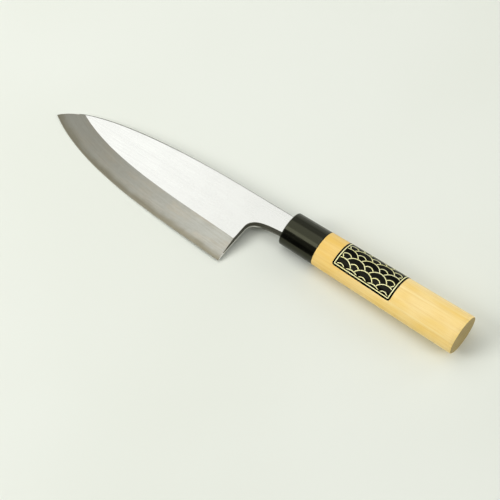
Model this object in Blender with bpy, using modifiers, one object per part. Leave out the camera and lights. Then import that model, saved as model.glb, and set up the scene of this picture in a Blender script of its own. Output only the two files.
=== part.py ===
"""Japanese single-bevel kitchen knife with an oval wooden handle, lying on its flat side.

The knife is drawn in its own frame, in metres: X runs towards the tip, Y towards the cutting
edge and Z out of the bevelled face. The origin of that frame is the centre of the ferrule's
front face. An empty then lays the finished knife down on the table.
"""
from math import cos, pi, radians, sin, sqrt

import bmesh
import bpy
from mathutils import Matrix, Vector
from mathutils.geometry import interpolate_bezier

MM = 0.001
WELD = 0.003 * MM

# Blade outline: the back, the cutting edge, the heel and the neck
HEEL_X = 22.8 * MM
HEEL_Y = 43.0 * MM
BLADE_LENGTH = 150.3 * MM
TIP_Y = 17.2 * MM
BACK_Y = -6.65 * MM
BACK_STRAIGHT_END = 40.0 * MM
BACK_PULL = 37.8 * MM
BACK_TIP_PULL = (19.4 * MM, 21.9 * MM)
EDGE_HEEL_PULL = (52.6 * MM, 3.1 * MM)
EDGE_TIP_PULL = (39.2 * MM, 23.8 * MM)
CHOIL_X = 22.4 * MM
CHOIL_RADIUS_START = 17.0 * MM
NECK_LOW_Y = 6.7 * MM
NECK_PULL = (12.0 * MM, 0.9 * MM)
CHOIL_PULL = 8.5 * MM
CURVE_STEPS = 36

# Blade thickness: at the ferrule, at the heel end of the bevel line and near the point
NECK_THICKNESS = 6.3 * MM
HEEL_BEVEL_THICKNESS = 5.0 * MM
POINT_THICKNESS = 2.2 * MM
POINT_THICKNESS_X = 156.0 * MM
EDGE_THICKNESS = 0.15 * MM

# Bevel ground on one side only, and the hollow ground into the flat back
BEVEL_WIDTH = 16.1 * MM
BEVEL_OVERRUN = 7.0 * MM
HOLLOW_RIM = 2.0 * MM
HOLLOW_WHEEL_RADIUS = 460.0 * MM
HOLLOW_RUNOUT = 6.0 * MM

# Hard steel layer forged under the soft iron
STEEL_HEEL_THICKNESS = 1.6 * MM
STEEL_POINT_THICKNESS = 0.9 * MM
STEEL_START_X = 16.0 * MM
LAYER_GAP = 0.08 * MM

# Hidden tang
TANG_LENGTH = 92.0 * MM
TANG_SHOULDER = 0.6 * MM
TANG_END_WIDTH = 5.0 * MM
TANG_END_THICKNESS = 2.6 * MM

# Oval handle, measured as half widths across the blade's plane and half heights out of it
HANDLE_LENGTH = 127.0 * MM
FRONT_HALF_WIDTH = 11.76 * MM
FRONT_HALF_HEIGHT = 9.09 * MM
BUTT_HALF_WIDTH = 13.63 * MM
BUTT_HALF_HEIGHT = 10.65 * MM
BUTT_ROUNDING = 0.7 * MM
OVAL_SIDES = 72

# Moulded ferrule, closed in front except for the tang's slot
FERRULE_LENGTH = 24.7 * MM
FERRULE_WALL = 1.5 * MM
FERRULE_FRONT_WALL = 2.5 * MM
FERRULE_ROUNDING = 0.8 * MM

# Printed band on the handle
BAND_START = 38.0 * MM
BAND_LENGTH = 42.7 * MM
BAND_EDGE_ANGLE = 48.0
BAND_WRAP_ANGLE = 160.0
BAND_TURN = 1.4
BAND_THICKNESS = 0.15 * MM
BAND_CORNER = 1.6 * MM
GLUE_GAP = 0.1 * MM

# Room between pieces that fit into each other
FIT_GAP = 0.3 * MM

# Place along the edge that touches the table, opposite the ferrule's lower rim
REST_EDGE_X = 138.0 * MM

BACK_FACE_Z = -NECK_THICKNESS / 2
TIP = Vector((HEEL_X + BLADE_LENGTH, TIP_Y, 0.0))
HEEL = Vector((HEEL_X, HEEL_Y, 0.0))


def clear_scene():
    """Remove every object, so that the script gives the same scene each time."""
    for obj in list(bpy.data.objects):
        bpy.data.objects.remove(obj, do_unlink=True)
    for group in list(bpy.data.collections):
        bpy.data.collections.remove(group)


def new_collection(name):
    group = bpy.data.collections.new(name)
    bpy.context.scene.collection.children.link(group)
    return group


def material(name, colour, roughness, metallic=0.0):
    mat = bpy.data.materials.new(name)
    mat.use_nodes = True
    shader = mat.node_tree.nodes["Principled BSDF"]
    shader.inputs["Base Color"].default_value = (*colour, 1.0)
    shader.inputs["Roughness"].default_value = roughness
    shader.inputs["Metallic"].default_value = metallic
    mat.diffuse_color = (*colour, 1.0)
    return mat


def add_object(name, mesh, group, mat=None):
    obj = bpy.data.objects.new(name, mesh)
    group.objects.link(obj)
    if mat:
        mesh.materials.clear()
        mesh.materials.append(mat)
    return obj


def mesh_from(bm, name):
    bmesh.ops.recalc_face_normals(bm, faces=bm.faces)
    mesh = bpy.data.meshes.new(name)
    bm.to_mesh(mesh)
    bm.free()
    return mesh


def cutter(name, mesh, group):
    obj = add_object(name, mesh, group)
    obj.hide_render = True
    obj.display_type = "WIRE"
    return obj


def boolean(obj, other, operation, name):
    mod = obj.modifiers.new(name, "BOOLEAN")
    mod.operation = operation
    mod.solver = "MANIFOLD"
    mod.object = other


def settle(obj, mat=None):
    """Replace the object's mesh by what its modifiers make of it, without its shortest edges."""
    graph = bpy.context.evaluated_depsgraph_get()
    mesh = bpy.data.meshes.new_from_object(obj.evaluated_get(graph))
    bm = bmesh.new()
    bm.from_mesh(mesh)
    bmesh.ops.remove_doubles(bm, verts=bm.verts, dist=WELD)
    bmesh.ops.dissolve_degenerate(bm, edges=bm.edges, dist=WELD)
    bm.to_mesh(mesh)
    bm.free()
    obj.modifiers.clear()
    obj.data = mesh
    if mat:
        mesh.materials.clear()
        mesh.materials.append(mat)


def shade(obj, angle=30.0):
    obj.data.shade_smooth()
    obj.data.set_sharp_from_angle(angle=radians(angle))


def curve_points(start, pull_start, pull_end, end, steps=CURVE_STEPS):
    """Points on the smooth curve between two places, pulled towards a handle at each."""
    return interpolate_bezier(start, pull_start, pull_end, end, steps + 1)


def back_curve():
    """The blade's back, from where it leaves the straight to the tip."""
    start = Vector((BACK_STRAIGHT_END, BACK_Y, 0.0))
    return curve_points(
        start,
        start + Vector((BACK_PULL, 0.0, 0.0)),
        TIP - Vector((BACK_TIP_PULL[0], BACK_TIP_PULL[1], 0.0)),
        TIP,
    )


def edge_curve():
    """The cutting edge, from the heel to the tip."""
    return curve_points(
        HEEL,
        HEEL + Vector((EDGE_HEEL_PULL[0], -EDGE_HEEL_PULL[1], 0.0)),
        TIP + Vector((-EDGE_TIP_PULL[0], EDGE_TIP_PULL[1], 0.0)),
        TIP,
    )


def choil_curve():
    """The hollow corner between the neck's lower side and the heel."""
    start = Vector((0.0, NECK_LOW_Y, 0.0))
    end = Vector((CHOIL_X, CHOIL_RADIUS_START, 0.0))
    return curve_points(
        start,
        start + Vector((NECK_PULL[0], NECK_PULL[1], 0.0)),
        end - Vector((0.0, CHOIL_PULL, 0.0)),
        end,
        14,
    )


def upper_face():
    """A point of the upper face and its normal: the plane through three thicknesses."""
    neck = Vector((0.0, BACK_Y, BACK_FACE_Z + NECK_THICKNESS))
    heel = Vector((HEEL_X, HEEL_Y - BEVEL_WIDTH, BACK_FACE_Z + HEEL_BEVEL_THICKNESS))
    back = nearest_by_x(back_curve(), POINT_THICKNESS_X)
    point = Vector((back.x, back.y, BACK_FACE_Z + POINT_THICKNESS))
    normal = (point - neck).cross(heel - neck).normalized()
    return neck, normal if normal.z > 0 else -normal


def nearest_by_x(points, x):
    return min(points, key=lambda p: abs(p.x - x))


def upper_height(x, y):
    """Height of the upper face's plane above a point of the blade's outline."""
    place, normal = upper_face()
    return place.z - (normal.x * (x - place.x) + normal.y * (y - place.y)) / normal.z


def inward(points, index):
    """Unit vector square to a curve at one of its points, towards the blade's back."""
    before = points[max(index - 1, 0)]
    after = points[min(index + 1, len(points) - 1)]
    along = (after - before).normalized()
    return Vector((along.y, -along.x, 0.0))


def flat_outline(name, points, thickness, group):
    """An outline filled and extruded to both sides of its plane, as a welded mesh object."""
    curve = bpy.data.curves.new(name, "CURVE")
    curve.dimensions = "2D"
    curve.fill_mode = "BOTH"
    curve.extrude = thickness / 2
    spline = curve.splines.new("POLY")
    spline.points.add(len(points) - 1)
    for dot, place in zip(spline.points, points):
        dot.co = (place[0], place[1], 0.0, 1.0)
    spline.use_cyclic_u = True
    source = bpy.data.objects.new(name, curve)
    group.objects.link(source)
    graph = bpy.context.evaluated_depsgraph_get()
    mesh = bpy.data.meshes.new_from_object(source.evaluated_get(graph))
    bm = bmesh.new()
    bm.from_mesh(mesh)
    bmesh.ops.remove_doubles(bm, verts=bm.verts, dist=1e-7)
    bpy.data.objects.remove(source, do_unlink=True)
    bpy.data.curves.remove(curve)
    bpy.data.meshes.remove(mesh)
    return add_object(name, mesh_from(bm, name), group)


def loft(sections, name):
    """A closed solid through sections that all have the same number of points."""
    bm = bmesh.new()
    rings = [[bm.verts.new(p) for p in section] for section in sections]
    count = len(rings[0])
    for ring, following in zip(rings, rings[1:]):
        for i in range(count):
            j = (i + 1) % count
            bm.faces.new((ring[i], ring[j], following[j]))
            bm.faces.new((ring[i], following[j], following[i]))
    bm.faces.new(rings[0])
    bm.faces.new(list(reversed(rings[-1])))
    return mesh_from(bm, name)


def block(name, low, high):
    """A box between two opposite corners."""
    bm = bmesh.new()
    bmesh.ops.create_cube(bm, size=1.0)
    low, high = Vector(low), Vector(high)
    size = high - low
    bmesh.ops.scale(bm, vec=size, verts=bm.verts)
    bmesh.ops.translate(bm, vec=(low + high) / 2, verts=bm.verts)
    return mesh_from(bm, name)


def tapered_block(name, x_wide, wide, x_slim, slim):
    """A box along X whose section shrinks from one end to the other, both as (y0, y1, z0, z1)."""
    mesh = block(name, (x_slim, -0.5, -0.5), (x_wide, 0.5, 0.5))
    for vert in mesh.vertices:
        y0, y1, z0, z1 = wide if vert.co.x > (x_wide + x_slim) / 2 else slim
        vert.co.y = y1 if vert.co.y > 0 else y0
        vert.co.z = z1 if vert.co.z > 0 else z0
    return mesh


def half_width(x):
    """The handle's half width across the blade's plane, at a distance x from the front."""
    return FRONT_HALF_WIDTH + (BUTT_HALF_WIDTH - FRONT_HALF_WIDTH) * -x / HANDLE_LENGTH


def half_height(x):
    """The handle's half height out of the blade's plane, at a distance x from the front."""
    return FRONT_HALF_HEIGHT + (BUTT_HALF_HEIGHT - FRONT_HALF_HEIGHT) * -x / HANDLE_LENGTH


def oval_bar(name, x_front, x_back, inset=0.0):
    """A bar along X with the handle's oval section, made smaller all round by the inset."""
    bm = bmesh.new()
    bmesh.ops.create_cone(bm, cap_ends=True, segments=OVAL_SIDES, radius1=1.0, radius2=1.0,
                          depth=x_front - x_back, matrix=Matrix.Rotation(pi / 2, 4, "Y"))
    for vert in bm.verts:
        x = x_front if vert.co.x > 0 else x_back
        width = half_width(x) - inset
        height = half_height(x) - inset
        vert.co = Vector((x, vert.co.y * width, vert.co.z * height))
    return mesh_from(bm, name)


def bevel_end(obj, x, width, segments):
    """Round the edge round one end face of a bar."""
    bm = bmesh.new()
    bm.from_mesh(obj.data)
    rim = [e for e in bm.edges if all(abs(v.co.x - x) < 1e-7 for v in e.verts)]
    bmesh.ops.bevel(bm, geom=rim, offset=width, segments=segments, profile=0.5,
                    affect="EDGES", clamp_overlap=True)
    bm.to_mesh(obj.data)
    bm.free()


def blade_blank(group):
    """The forged blank: the whole outline at full thickness, from the neck's end to the tip."""
    neck_end = -FERRULE_FRONT_WALL
    outline = [Vector((neck_end, BACK_Y, 0.0))]
    outline += back_curve()
    outline += list(reversed(edge_curve()))[1:]
    outline += list(reversed(choil_curve()))
    outline.append(Vector((neck_end, NECK_LOW_Y, 0.0)))
    return flat_outline("blade_iron", outline, NECK_THICKNESS, group)


def grind_upper_face(blade, tools):
    """Taper the thickness from the neck to the point with one flat cut."""
    place, normal = upper_face()
    mesh = block("upper_face_cut", (-1.0, -1.0, 0.0), (1.0, 1.0, NECK_THICKNESS))
    tool = cutter("upper_face_cut", mesh, tools)
    tool.location = place
    tool.rotation_mode = "QUATERNION"
    tool.rotation_quaternion = normal.to_track_quat("Z", "Y")
    boolean(blade, tool, "DIFFERENCE", "upper face")


def bevel_sections():
    """Sections of the bevel's cutter, one for each point of the edge and one past each end."""
    edge = edge_curve()
    edge = [2 * edge[0] - edge[1]] + edge + [2 * edge[-1] - edge[-2]]
    clear = NECK_THICKNESS * 2
    sections = []
    for index, point in enumerate(edge):
        square = inward(edge, index)
        ridge = point + BEVEL_WIDTH * square
        ridge.z = upper_height(ridge.x, ridge.y)
        foot = Vector((point.x, point.y, BACK_FACE_Z + EDGE_THICKNESS))
        slope = (ridge - foot) / BEVEL_WIDTH
        outer = foot - BEVEL_OVERRUN * slope
        inner = ridge + BEVEL_OVERRUN * slope
        sections.append([
            outer,
            inner,
            Vector((inner.x, inner.y, clear)),
            Vector((outer.x, outer.y, clear)),
        ])
    return sections


def rim_line(points, side):
    """The line that stays one rim's width inside a curve of the outline."""
    return [p + side * HOLLOW_RIM * inward(points, i) for i, p in enumerate(points)]


def height_at(line, x):
    """Y of a line at a place along X, carried on straight past its ends."""
    i = max([0] + [k for k in range(len(line) - 1) if line[k].x <= x])
    one, two = line[i], line[i + 1]
    return one.y + (two.y - one.y) * (x - one.x) / (two.x - one.x)


def hollow_sections():
    """Sections of the back's hollow: an arc of the grinding wheel between two flat rims."""
    upper = rim_line([Vector((HEEL_X, BACK_Y, 0.0))] + back_curve(), -1)
    lower = rim_line(edge_curve(), 1)
    sections = [hollow_section(HEEL_X - HOLLOW_RUNOUT, height_at(upper, HEEL_X),
                               height_at(lower, HEEL_X), 0.0)]
    steps = CURVE_STEPS
    for step in range(steps):
        x = HEEL_X + BLADE_LENGTH * step / steps
        back, front = height_at(upper, x), height_at(lower, x)
        if front - back > HOLLOW_RIM:
            sections.append(hollow_section(x, back, front, 1.0))
    return sections


def hollow_section(x, back, front, share):
    """One section: the arc from rim to rim, closed under the blade."""
    steps = 12
    span = front - back
    points = []
    for step in range(steps + 1):
        from_middle = (step / steps - 0.5) * span
        depth = sqrt(HOLLOW_WHEEL_RADIUS ** 2 - from_middle ** 2)
        depth -= sqrt(HOLLOW_WHEEL_RADIUS ** 2 - (span / 2) ** 2)
        height = BACK_FACE_Z + share * depth - 0.01 * MM
        points.append(Vector((x, back + span * step / steps, height)))
    below = BACK_FACE_Z - NECK_THICKNESS
    return points + [Vector((x, front, below)), Vector((x, back, below))]


def layer_height(x):
    """Height of the top of the hard steel layer."""
    part = (x - HEEL_X) / BLADE_LENGTH
    return BACK_FACE_Z + STEEL_HEEL_THICKNESS + part * (STEEL_POINT_THICKNESS - STEEL_HEEL_THICKNESS)


def layer_block(name, x_start, rise):
    """Everything under the line between the layers, from x_start past the tip."""
    x_end = TIP.x + BEVEL_WIDTH
    mesh = block(name, (x_start, -HEEL_Y, BACK_FACE_Z - NECK_THICKNESS),
                 (x_end, 2 * HEEL_Y, 0.0))
    for vert in mesh.vertices:
        if vert.co.z > BACK_FACE_Z - NECK_THICKNESS / 2:
            vert.co.z = layer_height(vert.co.x) + rise
    return mesh


def tang_section(gap):
    """The tang's section where it leaves the neck, as (y0, y1, z0, z1), grown by a gap."""
    inset = TANG_SHOULDER - gap
    top = min(upper_height(0.0, BACK_Y), upper_height(0.0, NECK_LOW_Y))
    return (BACK_Y + inset, NECK_LOW_Y - inset, BACK_FACE_Z + inset, top - inset)


def tang_mesh(name, x_front, x_back, gap):
    """The tang as a tapered bar, grown all round by a gap for the hole that holds it."""
    wide = tang_section(gap)
    middle = (BACK_Y + NECK_LOW_Y) / 2
    slim = (middle - TANG_END_WIDTH / 2 - gap, middle + TANG_END_WIDTH / 2 + gap,
            -TANG_END_THICKNESS / 2 - gap, TANG_END_THICKNESS / 2 + gap)
    return tapered_block(name, x_front, wide, x_back, slim)


def make_blade(group, tools, iron, steel):
    """Grind the blank, split it into its two layers and add the tang to the iron."""
    blade = blade_blank(group)
    grind_upper_face(blade, tools)
    bevel = cutter("bevel_cut", loft(bevel_sections(), "bevel_cut"), tools)
    boolean(blade, bevel, "DIFFERENCE", "bevel")
    hollow = cutter("hollow_cut", loft(hollow_sections(), "hollow_cut"), tools)
    boolean(blade, hollow, "DIFFERENCE", "hollow back")
    settle(blade)

    layer = add_object("blade_steel", blade.data.copy(), group)
    under = cutter("steel_side", layer_block("steel_side", STEEL_START_X, 0.0), tools)
    boolean(layer, under, "INTERSECT", "hard steel")
    settle(layer, steel)

    over = cutter("iron_side", layer_block("iron_side", STEEL_START_X - LAYER_GAP, LAYER_GAP), tools)
    boolean(blade, over, "DIFFERENCE", "soft iron")
    mesh = tang_mesh("tang", TANG_SHOULDER, -TANG_LENGTH, 0.0)
    tang = cutter("tang", mesh, tools)
    boolean(blade, tang, "UNION", "tang")
    settle(blade, iron)
    for obj in (blade, layer):
        shade(obj, 5.0)
    return blade, layer


def make_ferrule(group, tools, plastic):
    """A moulded cap: oval outside, a socket for the handle's tenon and a slot for the neck."""
    obj = add_object("ferrule", oval_bar("ferrule", 0.0, -FERRULE_LENGTH), group, plastic)
    bevel_end(obj, 0.0, FERRULE_ROUNDING, 3)
    mesh = oval_bar("socket", -FERRULE_FRONT_WALL, -FERRULE_LENGTH - FERRULE_WALL, FERRULE_WALL)
    boolean(obj, cutter("socket", mesh, tools), "DIFFERENCE", "socket")
    top = max(upper_height(0.0, BACK_Y), upper_height(0.0, NECK_LOW_Y))
    top = max(top, upper_height(-FERRULE_FRONT_WALL, BACK_Y))
    mesh = block("neck_slot",
                 (-FERRULE_FRONT_WALL * 2, BACK_Y - FIT_GAP, BACK_FACE_Z - FIT_GAP),
                 (FERRULE_FRONT_WALL, NECK_LOW_Y + FIT_GAP, top + FIT_GAP))
    boolean(obj, cutter("neck_slot", mesh, tools), "DIFFERENCE", "slot")
    settle(obj, plastic)
    shade(obj)
    return obj


def make_handle(group, tools, wood):
    """The wooden grip, its tenon in the ferrule and the tapered hole for the tang."""
    start = -FERRULE_LENGTH - FIT_GAP
    obj = add_object("handle", oval_bar("handle", start, -HANDLE_LENGTH), group, wood)
    bevel_end(obj, -HANDLE_LENGTH, BUTT_ROUNDING, 3)
    mesh = oval_bar("tenon", -FERRULE_FRONT_WALL - FIT_GAP, start - FERRULE_FRONT_WALL,
                    FERRULE_WALL + FIT_GAP)
    boolean(obj, cutter("tenon", mesh, tools), "UNION", "tenon")
    mesh = tang_mesh("tang_hole", TANG_SHOULDER, -TANG_LENGTH - FIT_GAP, FIT_GAP)
    boolean(obj, cutter("tang_hole", mesh, tools), "DIFFERENCE", "tang hole")
    settle(obj, wood)
    shade(obj)
    return obj


def arc_table():
    """Angle round the oval against the way along it, from the top, halfway along the band."""
    x = -BAND_START - BAND_LENGTH / 2
    table = [(0.0, 0.0)]
    for step in range(1, 721):
        one, two = radians((step - 1) / 2), radians(step / 2)
        dy = half_width(x) * (sin(two) - sin(one))
        dz = half_height(x) * (cos(two) - cos(one))
        table.append((step / 2, table[-1][1] + sqrt(dy * dy + dz * dz)))
    return table


def arc_of(angle, table):
    """Way along the oval from the top to an angle, negative on the back's side."""
    low = int(abs(angle) * 2)
    one, two = table[low], table[low + 1]
    way = one[1] + (two[1] - one[1]) * (abs(angle) - one[0]) * 2
    return way if angle >= 0 else -way


def angle_of(way, table):
    """Angle of the point that lies a given way along the oval from the top."""
    for one, two in zip(table, table[1:]):
        if two[1] >= abs(way):
            angle = one[0] + (two[0] - one[0]) * (abs(way) - one[1]) / (two[1] - one[1])
            return angle if way >= 0 else -angle
    return 360.0


def make_band(group, foil):
    """The printed band: a flat rounded panel bent round the oval, then given its thickness."""
    table = arc_table()
    low = arc_of(BAND_EDGE_ANGLE, table)
    high = arc_of(BAND_EDGE_ANGLE - BAND_WRAP_ANGLE, table)
    width = low - high
    rows = 48
    columns = 3
    bm = bmesh.new()
    bmesh.ops.create_grid(bm, x_segments=columns, y_segments=rows, size=0.5)
    turn = radians(BAND_TURN)
    for vert in bm.verts:
        around = vert.co.y * width
        beyond = abs(around) - (width / 2 - BAND_CORNER)
        shorten = 0.0
        if beyond > 0:
            shorten = BAND_CORNER - sqrt(max(BAND_CORNER ** 2 - beyond ** 2, 0.0))
        along = vert.co.x * (BAND_LENGTH - 2 * shorten)
        x = -BAND_START - BAND_LENGTH / 2 + along * cos(turn) + around * sin(turn)
        way = (low + high) / 2 - along * sin(turn) + around * cos(turn)
        angle = radians(angle_of(way, table))
        width_here = half_width(x) + GLUE_GAP
        height_here = half_height(x) + GLUE_GAP
        vert.co = Vector((x, sin(angle) * width_here, cos(angle) * height_here))
    mesh = mesh_from(bm, "band")
    middle = min(mesh.polygons, key=lambda face: abs(face.center.y))
    if middle.normal.z < 0:
        mesh.flip_normals()
    obj = add_object("band", mesh, group, foil)
    solid = obj.modifiers.new("thickness", "SOLIDIFY")
    solid.thickness = BAND_THICKNESS
    solid.offset = 1.0
    shade(obj)
    return obj


def table_plane():
    """Normal, pointing up, of the table under the edge and the ferrule's lower rim.

    The plane holds the edge's tangent at one place and touches the ferrule's oval, which
    fixes its slope k by k^2 (q^2 - (u w)^2) - 2 z q k + z^2 - h^2 = 0.
    """
    edge = edge_curve()
    index = edge.index(nearest_by_x(edge, REST_EDGE_X))
    square = inward(edge, index)
    rim_x = -FERRULE_ROUNDING
    run = (rim_x - edge[index].x) * square.x - edge[index].y * square.y
    width = square.y * half_width(rim_x)
    height = half_height(rim_x)
    a = run * run - width * width
    b = -2 * BACK_FACE_Z * run
    c = BACK_FACE_Z ** 2 - height ** 2
    slope = (-b + sqrt(b * b - 4 * a * c)) / (2 * a)
    return Vector((slope * square.x, slope * square.y, 1.0)).normalized()


def lay_down(pieces, group):
    """Hang the pieces on an empty, turn it to the table and centre it over the origin."""
    rest = bpy.data.objects.new("knife_rest", None)
    group.objects.link(rest)
    for piece in pieces:
        piece.parent = rest
    up = table_plane()
    along = (Vector((1.0, 0.0, 0.0)) - up.x * up).normalized()
    turn = Matrix((along, up.cross(along), up))
    rest.matrix_world = turn.to_4x4()
    graph = bpy.context.evaluated_depsgraph_get()
    graph.update()
    spots = []
    for piece in pieces:
        solid = piece.evaluated_get(graph)
        spots += [turn @ vert.co for vert in solid.data.vertices]
    low = Vector([min(spot[i] for spot in spots) for i in range(3)])
    high = Vector([max(spot[i] for spot in spots) for i in range(3)])
    rest.location = (-(low.x + high.x) / 2, -(low.y + high.y) / 2, -low.z)
    return rest


def main():
    clear_scene()
    knife = new_collection("single_bevel_knife")
    tools = new_collection("cutters")
    iron = material("soft_iron", (0.62, 0.61, 0.59), 0.38, 1.0)
    steel = material("hard_steel", (0.50, 0.49, 0.47), 0.30, 1.0)
    plastic = material("black_plastic", (0.012, 0.012, 0.012), 0.22)
    wood = material("pale_wood", (0.80, 0.55, 0.27), 0.55)
    foil = material("black_foil", (0.010, 0.010, 0.010), 0.30)

    pieces = list(make_blade(knife, tools, iron, steel))
    pieces.append(make_ferrule(knife, tools, plastic))
    pieces.append(make_handle(knife, tools, wood))
    pieces.append(make_band(knife, foil))
    lay_down(pieces, knife)


main()
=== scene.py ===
# %% [markdown]
# # Dressing a single-bevel kitchen knife
#
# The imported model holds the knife's true sizes and its joints with the table. This script keeps
# that frame and lays finer surfaces over it: a ground and polished blade, a moulded ferrule, an
# oval grip of pale wood and a glossy printed band. Each surface is worked out with numpy as a
# grid of points and handed to Blender as a mesh. The finishes are procedural, so they stay sharp
# at any distance.

# %% Load the fixed frame
from math import radians

import bmesh
import bpy
import numpy as np
from mathutils import Matrix, Vector


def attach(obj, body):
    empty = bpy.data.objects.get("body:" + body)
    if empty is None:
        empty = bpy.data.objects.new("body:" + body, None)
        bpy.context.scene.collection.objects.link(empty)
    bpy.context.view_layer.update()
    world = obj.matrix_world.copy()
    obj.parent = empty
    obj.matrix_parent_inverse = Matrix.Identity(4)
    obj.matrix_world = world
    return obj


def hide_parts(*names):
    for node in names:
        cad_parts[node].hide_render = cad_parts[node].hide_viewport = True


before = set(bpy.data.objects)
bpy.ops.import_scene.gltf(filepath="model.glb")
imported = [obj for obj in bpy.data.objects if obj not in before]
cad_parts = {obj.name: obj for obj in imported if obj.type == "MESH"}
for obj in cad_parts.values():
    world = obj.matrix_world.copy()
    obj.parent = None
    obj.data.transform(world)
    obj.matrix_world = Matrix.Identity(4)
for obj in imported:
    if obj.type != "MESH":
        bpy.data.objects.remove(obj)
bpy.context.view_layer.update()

print("nodes in the frame:", ", ".join(sorted(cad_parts)))

# %% [markdown]
# ## The knife's own frame
#
# A knife is drawn most easily along its own lines: X runs towards the tip, Y towards the cutting
# edge and Z out of the bevelled face, in millimetres, from the middle of the ferrule's front
# face. On the table it leans on its edge and on the ferrule's lower rim, so one turn and one
# shift carry every point over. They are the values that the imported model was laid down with.

# %% From the knife's frame to the table
MM = 0.001
REST_TURN = np.array([
    [0.99974012, -0.00204144, 0.02270913],
    [0.0, 0.9959839, 0.08953404],
    [-0.0228007, -0.08951078, 0.9957248],
])
REST_SHIFT = np.array([-22.87869, -14.48115, 9.10374])


def on_table(points):
    """Points of the knife in millimetres, turned, shifted and given in metres on the table."""
    return (points @ REST_TURN.T + REST_SHIFT) * MM


def show(name, data):
    """Put a mesh, a lamp or a camera into the scene."""
    obj = bpy.data.objects.new(name, data)
    bpy.context.scene.collection.objects.link(obj)
    return obj


print("the ferrule's front is at", on_table(np.zeros(3)).round(4), "m on the table")

# %% [markdown]
# ## The camera
#
# The photograph was taken with a long lens from above and behind the butt. The lens and the
# place were fitted to the oval of the handle and to the thickness of the blade, so the same
# foreshortening comes out here.

# %% Camera
CAMERA_PLACE = (-0.349177, 0.524587, 0.907202)
CAMERA_TURN = (0.596248, -0.042970, -2.497056)
CAMERA_LENS = 128.53

lens = bpy.data.cameras.new("camera")
lens.lens = CAMERA_LENS
lens.sensor_width = 36.0
lens.clip_start = 0.05
lens.clip_end = 30.0
camera = show("camera", lens)
camera.location = CAMERA_PLACE
camera.rotation_euler = CAMERA_TURN
bpy.context.scene.camera = camera
print("camera is", round(float(np.linalg.norm(CAMERA_PLACE)), 3), "m from the knife's middle")

# %% [markdown]
# ## Turning grids into meshes
#
# Every solid here is a row of rings: the same number of points in each ring, and a skin of
# four-sided faces between one ring and the next. A ring whose points all fall together is a
# pole, which closes an end. Faces that shrink to nothing are removed by merging points that lie
# in the same place, so the finished skin is closed and has no loose edges.

# %% Skin over a row of rings
def skin(name, rings, finish=None, chart=None, marks=None, loop=False):
    """A closed mesh object over rings (rows, points, xyz) given in the knife's frame.

    Face (i, j) joins points j and j+1 of ring i to those of ring i+1. finish holds each face's
    material number, chart a flat place for each corner, marks a value for each point.
    """
    rows, count = rings.shape[:2]
    number = np.arange(rows * count).reshape(rows, count)
    near = number if loop else number[:-1]
    far = np.roll(number, -1, axis=0) if loop else number[1:]
    quads = np.stack([near, np.roll(near, -1, 1), np.roll(far, -1, 1), far], -1).reshape(-1, 4)
    spots = on_table(rings.reshape(-1, 3))
    corner = spots[quads] - spots.mean(axis=0)
    volume = np.einsum("fi,fi->f", corner[:, 0], np.cross(corner[:, 1], corner[:, 2])).sum()
    volume += np.einsum("fi,fi->f", corner[:, 0], np.cross(corner[:, 2], corner[:, 3])).sum()
    if volume < 0:
        quads = quads[:, ::-1]
        chart = None if chart is None else chart[:, ::-1]
    mesh = bpy.data.meshes.new(name)
    mesh.from_pydata(spots.tolist(), [], quads.tolist())
    if finish is not None:
        mesh.polygons.foreach_set("material_index", finish.reshape(-1).astype(np.int32))
    if chart is not None:
        layer = mesh.uv_layers.new(name="chart")
        layer.data.foreach_set("uv", chart.reshape(-1).astype(np.float32))
    for key, values in (marks or {}).items():
        layer = mesh.attributes.new(key, "FLOAT", "POINT")
        layer.data.foreach_set("value", values.reshape(-1).astype(np.float32))
    bm = bmesh.new()
    bm.from_mesh(mesh)
    bmesh.ops.remove_doubles(bm, verts=bm.verts, dist=1e-6)
    loose = sum(1 for e in bm.edges if len(e.link_faces) != 2)
    bm.to_mesh(mesh)
    bm.free()
    mesh.shade_smooth()
    print(name, "has", len(mesh.polygons), "faces,", loose, "edges that aren't closed,",
          round(abs(volume) / 6 * 1e6, 2), "cm3")
    return show(name, mesh)


# %% [markdown]
# ## The blade's outline
#
# Seen from the side, the blade is bounded by four lines: the back, straight at first and then
# bending down to the tip, the cutting edge, the straight heel, and the curved corner between the
# heel and the neck. A cubic curve through two ends and two pulls draws each bend with few
# numbers, and a craftsman could lay the same lines out with a bent spline.

# %% Outline curves
HEEL = np.array([22.8, 43.0])
TIP = np.array([173.1, 17.2])
BACK_Y = -6.65
BACK_BEND = ((40.0, BACK_Y), (77.8, BACK_Y), (153.7, -4.7), TIP)
BACK_FACE = -3.15


def bend(start, pull_start, pull_end, end, steps):
    """Cubic curve: the four points weighed by (1-t)^3, 3(1-t)^2 t, 3(1-t) t^2 and t^3."""
    t = np.linspace(0.0, 1.0, steps + 1)[:, None]
    weights = ((1 - t) ** 3, 3 * (1 - t) ** 2 * t, 3 * (1 - t) * t ** 2, t ** 3)
    return sum(w * np.array(p) for w, p in zip(weights, (start, pull_start, pull_end, end)))


def square_in(line):
    """Unit vectors square to a line of places: its heading, turned a quarter to the right."""
    run = np.gradient(line, axis=0)
    run /= np.linalg.norm(run, axis=1)[:, None]
    return np.stack([run[:, 1], -run[:, 0]], 1)


def way_along(line):
    """How far each place of a line lies along it: the lengths of its short pieces added up."""
    return np.append(0.0, np.linalg.norm(np.diff(line, axis=0), axis=1).cumsum())


def on_line(x, line):
    """The places of a line at some values of X."""
    return np.stack([x, np.interp(x, line[:, 0], line[:, 1])], 1)


edge_line = bend(HEEL, (75.4, 39.9), (133.9, 41.0), TIP, 150)
back_line = bend(*BACK_BEND, 150)
neck_line = bend((0.0, 6.7), (12.0, 7.6), (22.4, 8.5), (22.4, 17.0), 60)
edge_length = float(way_along(edge_line)[-1])
print("edge is", round(edge_length, 1), "mm long")

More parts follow.
